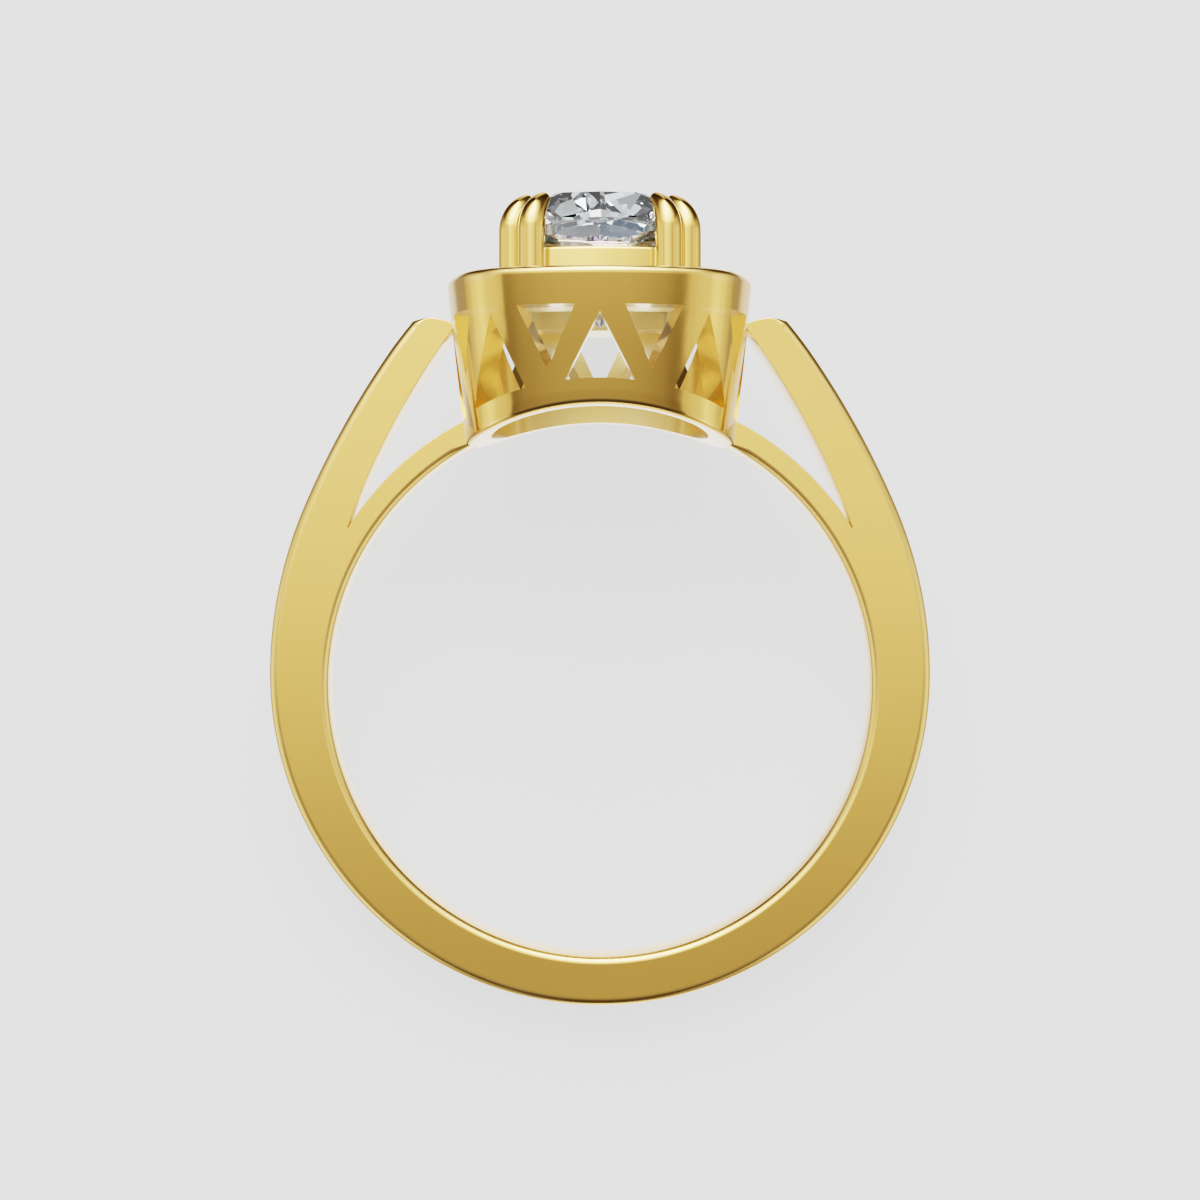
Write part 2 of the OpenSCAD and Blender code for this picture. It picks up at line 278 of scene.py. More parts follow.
def band_loop():
    """The flat shape of the band, one closed loop, with the rounding that each point's edge has."""
    corner = next(t for t in np.arange(110, 129, 0.02)
                  if outline_point(t)[1] > SHOULDER_LOW
                  and np.linalg.norm(outline_point(t) - SHOULDER_END) < SHOULDER_END_R)
    outer = [outline_point(t) for t in np.linspace(0, corner - SHOULDER_ROUND, 110)]
    peak = turn_of(outline_point(corner), SHOULDER_END)
    cap_start = peak + SHOULDER_ROUND * OUTLINE[-1][1] / SHOULDER_END_R
    wedge = next(t for t in np.arange(cap_start, 260, 0.05)
                 if np.linalg.norm(arc(SHOULDER_END, SHOULDER_END_R, t, t, 1)[0] - SLIT_CENTRE) < SLIT_R)
    cap = arc(SHOULDER_END, SHOULDER_END_R, cap_start, wedge, 16)
    outer += bend(outline_point(corner), outer[-1], cap[0], 7)[1:-1]
    right = [(p, OUTER_EDGE) for p in outer]
    right += [(p, OUTER_EDGE + (CRISP_EDGE - OUTER_EDGE) * min(1, i / 5)) for i, p in enumerate(cap)]
    tip = next(t for t in np.arange(turn_of(cap[-1], SLIT_CENTRE), 90, -0.02)
               if np.linalg.norm(arc(SLIT_CENTRE, SLIT_R, t, t, 1)[0]) < RAIL_R)
    slit = arc(SLIT_CENTRE, SLIT_R, turn_of(cap[-1], SLIT_CENTRE), tip, 50)[1:]
    right += [(p, CRISP_EDGE) for p in slit]
    rail = arc((0, 0), RAIL_R, turn_of(slit[-1], (0, 0)), turn_above(RAIL_END, RAIL_R), 36)[1:]
    right += [(p, CRISP_EDGE) for p in rail]
    finger = arc((0, 0), FINGER_R, turn_above(FINGER_END, FINGER_R), 0, 120)
    right += [(p, FINGER_EDGE * min(1, 0.2 + i / 5)) for i, p in enumerate(finger)]
    left = [(np.array([-p[0], p[1]]), e) for p, e in reversed(right[1:-1])]
    return right + left


def plate(name, loop, half_w, steps=7):
    """A flat shape given its width along the finger, with rounded edges."""
    flat = np.array([p for p, _ in loop])
    edge = np.array([e for _, e in loop])
    ahead = np.roll(flat, -1, 0) - flat
    ahead /= np.linalg.norm(ahead, axis=1)[:, None]
    behind = np.roll(ahead, 1, 0)
    along = ahead + behind
    along /= np.linalg.norm(along, axis=1)[:, None]
    area = np.sum(flat[:, 0] * np.roll(flat[:, 1], -1) - flat[:, 1] * np.roll(flat[:, 0], -1))
    inward = np.stack([-along[:, 1], along[:, 0]], 1) * (1 if area > 0 else -1)
    reach = 1 / np.clip(np.sum(along * ahead, 1), 0.5, 1)
    rows = []
    for t in np.linspace(0, math.pi / 2, steps + 1):
        p = flat + inward * (edge * reach * (1 - math.sin(t)))[:, None]
        rows.append((p, half_w - edge * (1 - math.cos(t))))
    front = [np.stack([p[:, 0], -y, p[:, 1]], 1) for p, y in rows]
    back = [np.stack([p[:, 0], y, p[:, 1]], 1) for p, y in reversed(rows)]
    skin = Skin()
    skin.grid(front + back, closed=True)
    skin.cap(front[0])
    skin.cap(back[-1])
    return finished(name, skin.mesh(name))


# The pierced gallery
def on_cylinder(turn, radius, inset):
    """Height at which a lofted surface meets a cylinder round the finger's axis."""
    z = np.full(np.shape(turn), float(radius)) * 0.95
    for _ in range(12):
        x = (gallery_radius(turn, z) - inset) * np.cos(turn)
        z = np.sqrt(radius ** 2 - x ** 2)
    return z


def half_widths(z):
    """Half of each window's width at its own height z: the even ones point up, the odd ones down."""
    middle = on_cylinder(WINDOW_TURNS, RAIL_R, 0)
    up = SILL_W / 2 * (PEAK_Z - z) / (PEAK_Z - middle)
    down = TOP_W / 2 * (z - POINT_Z) / (CEILING_Z - POINT_Z)
    return np.where(UP, np.maximum(0, up), np.clip(down, 0, TOP_W / 2))


class Wall:
    """One face of the gallery's wall, inset from the outside, in levels: 0 foot, 1 sills, 2 the low points,
    3 the peaks, 4 the ceiling, 5 where the rim starts to round."""

    def __init__(self, inset, foot_rise):
        self.inset, self.foot_rise = inset, foot_rise

    def height(self, turn, level):
        marks = [
            on_cylinder(turn, FINGER_R, self.inset) + self.foot_rise,
            on_cylinder(turn, RAIL_R, self.inset),
            POINT_Z + 0 * turn, PEAK_Z + 0 * turn, CEILING_Z + 0 * turn, DECK_Z - RIM_EDGE + 0 * turn]
        low = min(int(level), 4)
        return marks[low] + (marks[low + 1] - marks[low]) * (level - low)

    @functools.lru_cache(None)
    def edges(self, side, level):
        """Turns at which the windows' edges on this side lie at this level."""
        levels = np.where(UP, max(level, 1), min(level, 4))
        turn = WINDOW_TURNS
        for _ in range(14):
            z = np.where(UP, self.height(turn, levels.max()), self.height(turn, levels.min()))
            turn = WINDOW_TURNS + np.arcsin(side * half_widths(z) / (gallery_radius(turn, z) - self.inset))
        return turn

    def edge(self, i, side, level):
        return self.edges(side, level)[i]

    def point(self, turn, level):
        z = self.height(turn, level)
        return polar(gallery_radius(turn, z) - self.inset, turn, z)

    def strut_turns(self, i, level, count):
        """Turns across the strut after window i. The last one ends a whole round on, at the first window."""
        end = self.edge(i + 1, -1, level) if i + 1 < WINDOWS else self.edge(0, -1, level) + 2 * math.pi
        return np.linspace(self.edge(i, 1, level), end, count + 1)

    def filled_turns(self, i, level, count):
        return np.linspace(self.edge(i, -1, level), self.edge(i, 1, level), count + 1)

    def ring_turns(self, level, filled_up):
        """Turns of the whole closed row at this level, where the windows of one kind are filled."""
        turns = []
        for i in range(WINDOWS):
            if UP[i] == filled_up:
                turns += list(self.filled_turns(i, level, FILL))[:-1]
            turns += list(self.strut_turns(i, level, STRUT))[:-1]
        return np.array(turns)


def middle_row(out_row, in_row, from_sill):
    """The row halfway through the wall, with its first point on the sill's curve if it starts from one."""
    middle = (out_row + in_row) / 2
    if from_sill:
        middle[0, 2] = math.sqrt(RAIL_R ** 2 - middle[0, 0] ** 2)
    return middle


def window_walls(skin, outer, inner, i):
    """A window's walls through the thickness: its two sides, then its sill or its top."""
    open_levels = [v for v in LEVELS if (1 <= v <= 3 if UP[i] else 2 <= v <= 4)]
    for side in (-1, 1):
        out_row = np.array([outer.point(np.array(outer.edge(i, side, v)), v) for v in open_levels])
        in_row = np.array([inner.point(np.array(inner.edge(i, side, v)), v) for v in open_levels])
        skin.grid([out_row, middle_row(out_row, in_row, UP[i]), in_row], finish=2)
    flat = 1 if UP[i] else 4
    out_row = outer.point(outer.filled_turns(i, flat, FILL), flat)
    in_row = inner.point(inner.filled_turns(i, flat, FILL), flat)
    middle = (out_row + in_row) / 2
    if UP[i]:
        middle[:, 2] = np.sqrt(RAIL_R ** 2 - middle[:, 0] ** 2)
    skin.grid([out_row, middle, in_row])


def lattice(skin, outer, inner):
    """The struts between the windows, and the metal under or over each window."""
    for i in range(WINDOWS):
        skin.grid([outer.point(outer.strut_turns(i, v, STRUT), v) for v in LEVELS + RIM_LEVELS[1:]])
        skin.grid([inner.point(inner.strut_turns(i, v, STRUT), v) for v in LEVELS], finish=1)
        if UP[i]:
            low = [v for v in LEVELS if v <= 1]
            skin.grid([outer.point(outer.filled_turns(i, v, FILL), v) for v in low])
            skin.grid([inner.point(inner.filled_turns(i, v, FILL), v) for v in low], finish=1)
        else:
            skin.grid([outer.point(outer.filled_turns(i, v, FILL), v) for v in RIM_LEVELS])
        window_walls(skin, outer, inner, i)


def foot(skin, outer, inner):
    """A rounded outer edge, then the finger hole's own curve in to the inner wall."""
    out_foot, in_foot = outer.ring_turns(0, True), inner.ring_turns(0, True)

    def lip(inset):
        turn = out_foot + (in_foot - out_foot) * inset / WALL_T
        z = on_cylinder(turn, FINGER_R, inset)
        return polar(gallery_radius(turn, z) - inset, turn, z)

    rows = bend(lip(0), outer.point(out_foot, 0), lip(FOOT_EDGE), 6)
    skin.grid(rows + [lip(WALL_T * share) for share in (0.4, 0.7, 1)], closed=True)


def deck(skin, outer, inner):
    """The rim, the groove for the small stones, the seat ring, and down through the deck's opening. Each
    row's share says how far its turns are moved from the outer wall's to the inner wall's."""
    out_rim, in_rim = outer.ring_turns(4, False), inner.ring_turns(4, False)
    floor_z = DECK_Z - GROOVE_DEPTH

    def ring(share, half, side_r, corner_r, z):
        turn = out_rim + (in_rim - out_rim) * share
        return polar(cushion(turn, half, side_r, corner_r), turn, z)

    def rim(b):
        z = DECK_Z - RIM_EDGE * (1 - math.sin(b))
        return polar(gallery_radius(out_rim, z) - RIM_EDGE * (1 - math.cos(b)), out_rim, z)

    def groove_side(share, way, z, ease=0):
        return ring(share, *(PATH + way * (SMALL_R + GROOVE_ROOM + ease)), z)

    def seat(share, grow, z):
        return ring(share, SEAT_HALF + grow, SEAT_SIDE_R + grow, SEAT_CORNER_R + grow, z)

    rows = [rim(b) for b in np.linspace(0, math.pi / 2, 8)]
    rows += [groove_side(0.1, 1, DECK_Z, GROOVE_EDGE), groove_side(0.1, 1, DECK_Z - GROOVE_EDGE)]
    rows += [groove_side(0.15, 1, floor_z), groove_side(0.25, -1, floor_z)]
    rows += [groove_side(0.3, -1, DECK_Z - GROOVE_EDGE), groove_side(0.3, -1, DECK_Z, GROOVE_EDGE)]
    rows += bend(seat(0.4, 0, DECK_Z), seat(0.4, SEAT_EDGE, DECK_Z), seat(0.4, 0, DECK_Z + SEAT_EDGE), 4)
    rows += bend(seat(0.5, 0, SEAT_Z), seat(0.5, 0, SEAT_Z - SEAT_EDGE), seat(0.5, -SEAT_EDGE, SEAT_Z), 4)
    rows += [ring(share, *size) for share, size in zip((0.6, 0.7, 0.8), STONE_SEAT)]
    under = [ring(share, *size) for share, size in zip((0.85, 0.95, 0.95), DECK_HOLE)]
    skin.grid(rows + under[:1], closed=True)
    skin.grid(under + [inner.point(in_rim, 4)], closed=True, finish=1)


def gallery(name):
    """The gallery with its deck and seat ring. Finish 1 is for its inside, in a paler gold that paints light
    into its shade, and 2 for the windows' sides.
    """
    skin = Skin()
    outer, inner = Wall(0, FOOT_EDGE), Wall(WALL_T, 0)
    lattice(skin, outer, inner)
    foot(skin, outer, inner)
    deck(skin, outer, inner)
    return finished(name, skin.mesh(name), sharp=30)


# Trees for what repeats
def named_tree(name, inputs):
    """A Geometry Nodes tree with a geometry in and out and these named inputs."""
    tree = bpy.data.node_groups.new(name, "GeometryNodeTree")
    tree.interface.new_socket("Geometry", in_out="INPUT", socket_type="NodeSocketGeometry")
    for label, kind in inputs:
        tree.interface.new_socket(label, in_out="INPUT", socket_type=kind)
    tree.interface.new_socket("Geometry", in_out="OUTPUT", socket_type="NodeSocketGeometry")
    return tree


def grow(piece, tree, values):
    """Runs a tree on a piece, with its inputs set by their identifiers, and keeps the plain mesh."""
    m = piece.modifiers.new(tree.name, "NODES")
    m.node_group = tree
    inputs = [s for s in tree.interface.items_tree if s.item_type == "SOCKET" and s.in_out == "INPUT"]
    by_name = {s.name: s.identifier for s in inputs}
    for label, value in values.items():
        m[by_name[label]] = value
    piece.update_tag()
    bpy.context.view_layer.update()
    settle(piece)


def add_values(mesh, name, values):
    """Gives each point of a mesh its value."""
    mesh.attributes.new(name, "FLOAT", "POINT").data.foreach_set("value", np.asarray(values, np.float32))


def points_piece(name, points, turns, sizes):
    """A loose set of points, each with a turn about the upright ring's axis and a size."""
    mesh = bpy.data.meshes.new(name)
    mesh.from_pydata([tuple(map(float, p)) for p in points], [], [])
    add_values(mesh, "turn", turns)
    add_values(mesh, "size", sizes)
    return placed(name, mesh)


def own_value(tree, name):
    """What the points' attribute of this name says."""
    n = tree.nodes.new("GeometryNodeInputNamedAttribute")
    n.data_type = "FLOAT"
    n.inputs["Name"].default_value = name
    return n.outputs["Attribute"]


def set_on_points(t, g_in, copied):
    """Copies on the points, turned and sized by the points' own values, then given their finish."""
    link = t.links.new
    about = t.nodes.new("ShaderNodeCombineXYZ")
    link(own_value(t, "turn"), about.inputs["Z"])
    copies = t.nodes.new("GeometryNodeInstanceOnPoints")
    link(g_in.outputs["Geometry"], copies.inputs["Points"])
    link(copied, copies.inputs["Instance"])
    link(about.outputs["Vector"], copies.inputs["Rotation"])
    link(own_value(t, "size"), copies.inputs["Scale"])
    real = t.nodes.new("GeometryNodeRealizeInstances")
    link(copies.outputs["Instances"], real.inputs["Geometry"])
    dressed = t.nodes.new("GeometryNodeSetMaterial")
    link(real.outputs["Geometry"], dressed.inputs["Geometry"])
    link(g_in.outputs["Finish"], dressed.inputs["Material"])
    link(dressed.outputs["Geometry"], t.nodes.new("NodeGroupOutput").inputs["Geometry"])


def claw_tree():
    """Round wires that follow one bent line, set round the stone in pairs."""
    t = named_tree("claws_in_pairs", [
        ("Line", "NodeSocketObject"), ("Sides", "NodeSocketInt"), ("Finish", "NodeSocketMaterial")])
    link = t.links.new
    g_in = t.nodes.new("NodeGroupInput")
    line = t.nodes.new("GeometryNodeObjectInfo")
    link(g_in.outputs["Line"], line.inputs["Object"])
    curve = t.nodes.new("GeometryNodeMeshToCurve")
    link(line.outputs["Geometry"], curve.inputs["Mesh"])
    thickness = own_value(t, "size")
    sized = t.nodes.new("GeometryNodeSetCurveRadius")
    link(curve.outputs["Curve"], sized.inputs["Curve"])
    link(thickness, sized.inputs["Radius"])
    ring = t.nodes.new("GeometryNodeCurvePrimitiveCircle")
    link(g_in.outputs["Sides"], ring.inputs["Resolution"])
    ring.inputs["Radius"].default_value = 1
    wire = t.nodes.new("GeometryNodeCurveToMesh")
    wire.inputs["Fill Caps"].default_value = True
    link(sized.outputs["Curve"], wire.inputs["Curve"])
    link(ring.outputs["Curve"], wire.inputs["Profile Curve"])
    if "Scale" in wire.inputs:
        link(thickness, wire.inputs["Scale"])
    set_on_points(t, g_in, wire.outputs["Mesh"])
    return t


def copies_tree():
    """Copies of one object on points."""
    t = named_tree("copies_on_points", [("Copied", "NodeSocketObject"), ("Finish", "NodeSocketMaterial")])
    g_in = t.nodes.new("NodeGroupInput")
    one = t.nodes.new("GeometryNodeObjectInfo")
    one.inputs["As Instance"].default_value = True
    t.links.new(g_in.outputs["Copied"], one.inputs["Object"])
    set_on_points(t, g_in, one.outputs["Geometry"])
    return t


# Cut stones
def cut(bm, normal, point):
    """Grinds a facet: what lies beyond the plane is cut off, and the cut is closed."""
    geom = list(bm.verts) + list(bm.edges) + list(bm.faces)
    out = bmesh.ops.bisect_plane(
        bm, geom=geom, dist=1e-6, plane_co=Vector(point), plane_no=Vector(normal), clear_outer=True)
    ring = [e for e in out["geom_cut"] if isinstance(e, bmesh.types.BMEdge)]
    if ring:
        bmesh.ops.contextual_create(bm, geom=ring)


def facet(bm, turn, slope, point):
    """A facet that faces outwards at this turn, sloped by degrees from level. Below zero it faces down."""
    a, s = math.radians(turn), math.radians(abs(slope))
    up = 1 if slope >= 0 else -1
    cut(bm, (math.sin(s) * math.cos(a), math.sin(s) * math.sin(a), up * math.cos(s)), point)


def stone_blank(reach, low, high):
    bm = bmesh.new()
    bmesh.ops.create_cube(bm, size=2)
    bmesh.ops.scale(bm, vec=(reach, reach, (high - low) / 2), verts=bm.verts)
    bmesh.ops.translate(bm, vec=(0, 0, (high + low) / 2), verts=bm.verts)
    return bm


def stone_girdle(turn, z):
    """A point of the centre stone's girdle outline, and the turn its side faces."""
    turns = np.radians([turn - 0.5, turn + 0.5])
    here, near = polar(cushion(turns, STONE_HALF, STONE_SIDE_R, STONE_CORNER_R), turns, z)
    across = near - here
    return tuple((here + near) / 2), math.degrees(math.atan2(-across[0], across[1]))


def centre_stone_mesh():
    """A cushion brilliant: stars, mains and halves on the crown, two steps of breaks and the mains below."""
    low = GIRDLE_Z - GIRDLE_T
    bm = stone_blank(STONE_HALF * 1.5, CULET_Z, TABLE_Z)
    for k in range(32):
        at, face = stone_girdle(k * 11.25 + 5.625, 0)
        facet(bm, face, 90, at)
    for k in range(16):
        at, face = stone_girdle(k * 22.5 + 11.25, GIRDLE_Z)
        facet(bm, face, HALVES, at)
        facet(bm, face, BREAKS, at[:2] + (low,))
        at, face = stone_girdle(k * 22.5, low)
        facet(bm, face, LOW_BREAKS, at[:2] + (low - LOW_BREAK_STEP,))
    for k in range(8):
        at, face = stone_girdle(k * 45 + 22.5, GIRDLE_Z + 0.03)
        facet(bm, face, MAINS, at)
        facet(bm, k * 45, STARS, tuple(polar(TABLE_SHARE * STONE_HALF, math.radians(k * 45), TABLE_Z)))
        for turn, slope in zip((k * 45 + 11.25, k * 45 + 33.75), PAVILION_MAINS):
            facet(bm, turn, slope, (0, 0, CULET_Z))
    return made_mesh("centre_stone_cut", bm)


def small_stone_mesh():
    """A round brilliant of one millimetre's radius, with its table level with zero."""
    crown, girdle_t, pavilion = 0.27, 0.04, 0.80
    mains, stars, halves, lower_mains, lower_halves = 32, 20, 38, -40, -42.5
    side, table_side = 0.985, 0.68
    low = -crown - girdle_t
    bm = stone_blank(1.4, low - pavilion, 0)
    for k in range(16):
        turn = k * 22.5 + 11.25
        facet(bm, turn, 90, polar(side, math.radians(turn), 0))
    for k in range(8):
        facet(bm, k * 45, mains, polar(1, math.radians(k * 45), -crown))
        facet(bm, k * 45 + 22.5, stars, polar(table_side, math.radians(k * 45 + 22.5), -0.05))
        facet(bm, k * 45, lower_mains, (0, 0, low - pavilion))
    for k in range(16):
        turn = k * 22.5 + 11.25
        facet(bm, turn, halves, polar(side, math.radians(turn), -crown))
        facet(bm, turn, lower_halves, polar(side, math.radians(turn), low))
    return made_mesh("small_stone_cut", bm)


def halo_path():
    """A function for the point at each share of the small stones' path inside the deck's edge."""
    turns = np.linspace(0, 2 * math.pi, 7201)
    path = polar(cushion(turns, *PATH), turns, DECK_Z)
    run = np.concatenate([[0], np.cumsum(np.linalg.norm(np.diff(path, axis=0), axis=1))])

    def at(share):
        s = (share % 1) * run[-1]
        return np.array([np.interp(s, run, path[:, k]) for k in range(3)])
    return at


# What all finishes are made with
def maths(tree, operation, *values):
    """A sum of plain values and other nodes' outputs."""
    n = tree.nodes.new("ShaderNodeMath")
    n.operation = operation
    for socket, value in zip(n.inputs, values):
        if isinstance(value, (int, float)):
            socket.default_value = value
        else:
            tree.links.new(value, socket)
    return n.outputs[0]


def ramp(tree, value, stops, interpolation):
    """The colour that these stops have at a value from 0 to 1."""
    n = tree.nodes.new("ShaderNodeValToRGB")
    n.color_ramp.interpolation = interpolation
    while len(n.color_ramp.elements) < len(stops):
        n.color_ramp.elements.new(0.5)
    for stop, (at, colour) in zip(n.color_ramp.elements, stops):
        stop.position, stop.color = at, (*colour, 1)
    tree.links.new(value, n.inputs["Fac"])
    return n.outputs["Color"]


def new_material(name):
    m = bpy.data.materials.new(name)
    m.use_nodes = True
    return m, m.node_tree, m.node_tree.nodes["Principled BSDF"]


def show_mixed(tree, share, first, second):
    """Puts out two shaders, mixed by the second's share."""
    both = tree.nodes.new("ShaderNodeMixShader")
    tree.links.new(share, both.inputs["Fac"])
    tree.links.new(first.outputs["BSDF"], both.inputs[1])
    tree.links.new(second.outputs["BSDF"], both.inputs[2])
    tree.links.new(both.outputs["Shader"], tree.nodes["Material Output"].inputs["Surface"])


# Gold
# The second gold, for the gallery's inside, is paler: painted light in its shade
GOLD, PAINTED_LIGHT_GOLD = (0.904, 0.571, 0.193, 1), (1, 0.79, 0.42, 1)
DEEPER_GOLD, WORN_GOLD = (0.86, 0.5, 0.13, 1), (1, 0.78, 0.45, 1)
# Height of the buffing marks, in metres
RELIEF = 2e-6
# Fineness of the cloud and of the rubbed spots, how far each tints, and how worn metal's surface differs
CLOUD, RUBBED = 260, 700
CLOUD_TINT, WORN_TINT, WORN_ROUGHNESS, WORN_HEIGHT = 0.12, 0.35, 0.12, -0.4
# Painted reflections: metal seen in metal, or through a stone, has its look partly replaced; how much, by
# which colours, how rough
PALER, PALER_ROUGHNESS = 0.85, 0.25
IN_METAL, IN_STONE = (0.95, 0.87, 0.7), (0.84, 0.87, 0.93)


def polish_group():
    """Polished metal: fine buffing streaks, a slow cloud of duller and deeper patches, and worn edges."""
    g = bpy.data.node_groups.new("polish_marks", "ShaderNodeTree")
    plain = {"Size": 900, "Streak": 6, "Roughness": 0.12, "Unevenness": 0.05, "Wear": 1}
    for label, value in plain.items():
        g.interface.new_socket(label, in_out="INPUT", socket_type="NodeSocketFloat").default_value = value
    g.interface.new_socket("Color", in_out="INPUT", socket_type="NodeSocketColor").default_value = GOLD
    g.interface.new_socket("Color", in_out="OUTPUT", socket_type="NodeSocketColor")
    for label in ("Roughness", "Height"):
        g.interface.new_socket(label, in_out="OUTPUT", socket_type="NodeSocketFloat")
    link = g.links.new
    g_in, g_out = g.nodes.new("NodeGroupInput"), g.nodes.new("NodeGroupOutput")

    def noise(place, detail):
        n = g.nodes.new("ShaderNodeTexNoise")
        n.inputs["Detail"].default_value = detail
        link(place, n.inputs["Vector"])
        return n

    def tinted(colour, other, share):
        n = g.nodes.new("ShaderNodeMix")
        n.data_type = "RGBA"
        first, second = [socket for socket in n.inputs if socket.type == "RGBA"]
        second.default_value = other
        link(colour, first)
        link(share, n.inputs["Factor"])
        return next(socket for socket in n.outputs if socket.type == "RGBA")

    place = g.nodes.new("ShaderNodeTexCoord").outputs["Object"]
    along = g.nodes.new("ShaderNodeCombineXYZ")
    along.inputs["Y"].default_value = 1
    link(g_in.outputs["Streak"], along.inputs["X"])
    link(g_in.outputs["Streak"], along.inputs["Z"])
    long = g.nodes.new("ShaderNodeVectorMath")
    long.operation = "MULTIPLY"
    link(place, long.inputs[0])
    link(along.outputs["Vector"], long.inputs[1])
    streaks, cloud, rubbed = noise(long.outputs["Vector"], 3), noise(place, 2), noise(place, 4)
    link(g_in.outputs["Size"], streaks.inputs["Scale"])
    cloud.inputs["Scale"].default_value, rubbed.inputs["Scale"].default_value = CLOUD, RUBBED
    edge = g.nodes.new("ShaderNodeAttribute")
    edge.attribute_name = "worn_edge"
    handled = maths(g, "MULTIPLY", edge.outputs["Fac"], g_in.outputs["Wear"])
    worn = maths(g, "MULTIPLY", handled, rubbed.outputs["Fac"])
    clouded = maths(g, "MULTIPLY", cloud.outputs["Fac"], CLOUD_TINT)
    deeper = tinted(g_in.outputs["Color"], DEEPER_GOLD, clouded)
    link(tinted(deeper, WORN_GOLD, maths(g, "MULTIPLY", worn, WORN_TINT)), g_out.inputs["Color"])
    about = maths(g, "SUBTRACT", cloud.outputs["Fac"], 0.5)
    patchy = maths(g, "MULTIPLY_ADD", about, g_in.outputs["Unevenness"], g_in.outputs["Roughness"])
    link(maths(g, "MULTIPLY_ADD", worn, WORN_ROUGHNESS, patchy), g_out.inputs["Roughness"])
    link(maths(g, "MULTIPLY_ADD", worn, WORN_HEIGHT, streaks.outputs["Fac"]), g_out.inputs["Height"])
    return g


POLISH = polish_group()


def paler_in_mirrors(tree, shader):
    """Painted reflections: metal that is seen in metal keeps only part of its colour and turns paler, so
    that corners don't burn.
    Through a stone it keeps next to none, because the stone's own sparkle drowns it."""
    path = tree.nodes.new("ShaderNodeLightPath")
    mirrored = maths(tree, "GREATER_THAN", path.outputs["Ray Depth"], 0.5)
    through = maths(tree, "GREATER_THAN", path.outputs["Transmission Depth"], 0.5)
    pale = tree.nodes.new("ShaderNodeBsdfGlossy")
    pale.inputs["Roughness"].default_value = PALER_ROUGHNESS
    tree.links.new(ramp(tree, through, [(0, IN_METAL), (1, IN_STONE)], "LINEAR"), pale.inputs["Color"])
    show_mixed(tree, maths(tree, "MULTIPLY", mirrored, PALER), shader, pale)


def gold(name, colour, roughness, unevenness, bump, wear=1.0):
    m, tree, shader = new_material(name)
    link = tree.links.new
    shader.inputs["Metallic"].default_value = 1
    marks = tree.nodes.new("ShaderNodeGroup")
    marks.node_tree = POLISH
    marks.inputs["Color"].default_value = colour
    marks.inputs["Roughness"].default_value = roughness
    marks.inputs["Unevenness"].default_value = unevenness
    marks.inputs["Wear"].default_value = wear
    relief = tree.nodes.new("ShaderNodeBump")
    relief.inputs["Strength"].default_value = bump
    relief.inputs["Distance"].default_value = RELIEF
    link(marks.outputs["Color"], shader.inputs["Base Color"])
    link(marks.outputs["Roughness"], shader.inputs["Roughness"])
    link(marks.outputs["Height"], relief.inputs["Height"])
    link(relief.outputs["Normal"], shader.inputs["Normal"])
    paler_in_mirrors(tree, shader)
    return m


# Stone: the share that the outside of lower facets mirrors, and the painted coloured glints that they throw
# back, each tint from the share of facets before it
MIRRORED = 0.45
PAINTED_GLINTS = [(0, (0.96, 0.98, 1)), (0.6, (0.66, 0.84, 1)), (0.72, (1, 0.8, 0.62)), (0.8, (0.97, 0.97, 0.97)),
        (0.87, (0.72, 1, 0.84)), (0.94, (0.86, 0.78, 1))]


def stone_finish(name, lower=False):
    """Clear cut stone. The lower facets throw the light inside back up, with painted coloured glints, and
    mirror some outside.
    """
    m, tree, shader = new_material(name)
    shader.inputs["Base Color"].default_value = (0.99, 0.995, 1, 1)
    shader.inputs["Roughness"].default_value = 0
    shader.inputs["IOR"].default_value = 2.417
    shader.inputs["Transmission Weight"].default_value = 1
    if lower:
        fire = tree.nodes.new("ShaderNodeAttribute")
        fire.attribute_name = "fire"
        inner = tree.nodes.new("ShaderNodeBsdfGlossy")
        inner.inputs["Roughness"].default_value = 0
        tree.links.new(ramp(tree, fire.outputs["Fac"], PAINTED_GLINTS, "CONSTANT"), inner.inputs["Color"])
        side = tree.nodes.new("ShaderNodeNewGeometry")
        share = maths(tree, "MULTIPLY_ADD", side.outputs["Backfacing"], 1 - MIRRORED, MIRRORED)
        show_mixed(tree, share, shader, inner)
    return m


BAND_GOLD = gold("band_gold", GOLD, 0.16, 0.05, 0.25)
HEAD_GOLD = gold("head_gold", GOLD, 0.1, 0.04, 0.15)
CLAW_GOLD = gold("claw_gold", GOLD, 0.1, 0.04, 0.15, wear=0.2)
WINDOW_GOLD = gold("window_gold", GOLD, 0.1, 0.04, 0.2)
# Paler than the rest: painted light on the gallery's shaded inside, which is also satin
INNER_GOLD = gold("inner_gold", PAINTED_LIGHT_GOLD, 0.26, 0.08, 0.3)
STONE_TOP = stone_finish("stone_above_girdle")
STONE_BELOW = stone_finish("stone_below_girdle", lower=True)


# Making the pieces
def dress(piece, materials, slot, *nodes):
    """Gives a piece its finishes and its body, and hides the frame's pieces that it stands for."""
    if not piece.data.materials:
        for m in materials:
            piece.data.materials.append(m)
    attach(piece, "root")
    if nodes:
        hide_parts(*nodes)


def grown(name, points, tree, pattern, values, sharp):
    """A piece made by a tree from points and a pattern, both of which are then removed."""
    grow(points, tree, values)
    piece = finished(name, points.data.copy(), sharp=sharp, weighted=False)
    bpy.data.objects.remove(points)
    bpy.data.objects.remove(pattern)
    return piece


